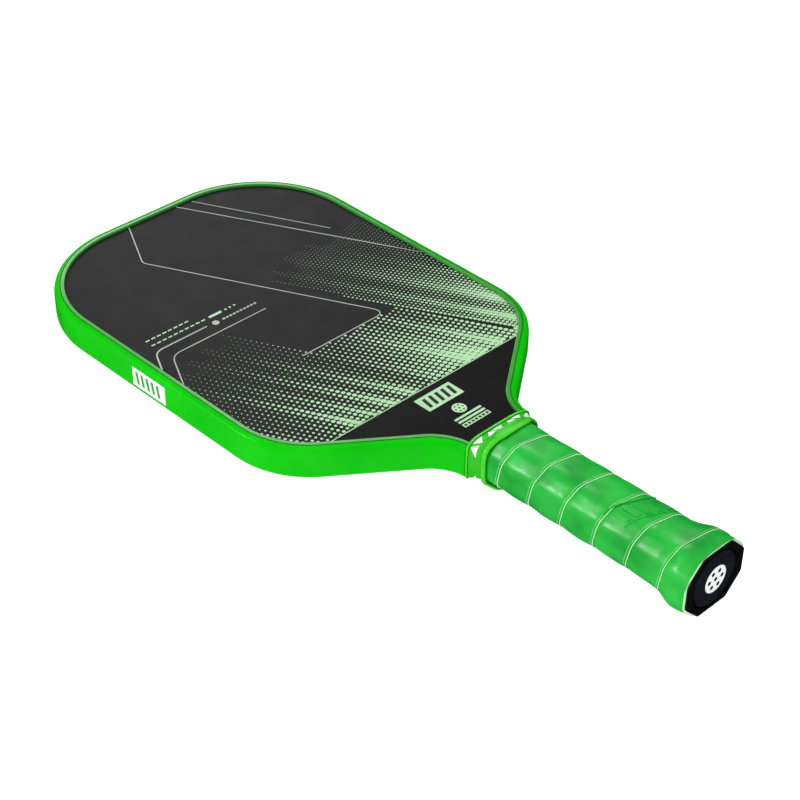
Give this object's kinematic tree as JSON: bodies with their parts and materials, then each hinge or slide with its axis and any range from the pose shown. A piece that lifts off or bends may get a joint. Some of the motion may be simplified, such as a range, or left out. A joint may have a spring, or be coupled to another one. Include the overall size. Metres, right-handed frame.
{
  "type": "pickleball paddle",
  "caption": "Elongated pickleball paddle with a printed black face, green edge guard, rubber collar, wrapped octagonal handle and black end cap.",
  "frame": {"origin": "centre of the whole paddle's bounding box, in the middle plane of the panel", "axes": "+X across the head, +Y from the butt to the tip, +Z out of the printed striking face"},
  "size_m": [0.1904, 0.419, 0.034],
  "materials": {
    "carbon_face": "matte",
    "guard_plastic": "satin",
    "grip": "satin",
    "collar_rubber": "satin",
    "cap_plastic": "satin",
    "medallion": "satin",
    "core_polymer": "satin",
    "foam": "matte",
    "handle_foam": "matte",
    "scrim": "matte",
    "adhesive": "satin",
    "tape": "satin",
    "staple_wire": "polished"
  },
  "bodies": {
    "root": {"back_scrim": "scrim", "back_skin": "carbon_face", "butt_cap": "cap_plastic", "butt_medallion": "medallion", "cap_staple_back": "staple_wire", "cap_staple_front": "staple_wire", "collar": "collar_rubber", "edge_guard": "guard_plastic", "edge_guard_tape": "adhesive", "finishing_tape": "tape", "front_scrim": "scrim", "front_skin": "carbon_face", "grip_wrap": "grip", "handle_half_back": "handle_foam", "handle_half_front": "handle_foam", "handle_tape_back": "adhesive", "handle_tape_front": "adhesive", "honeycomb_core": "core_polymer", "medallion_pad": "adhesive", "perimeter_foam": "foam"}
  },
  "joints": []
}
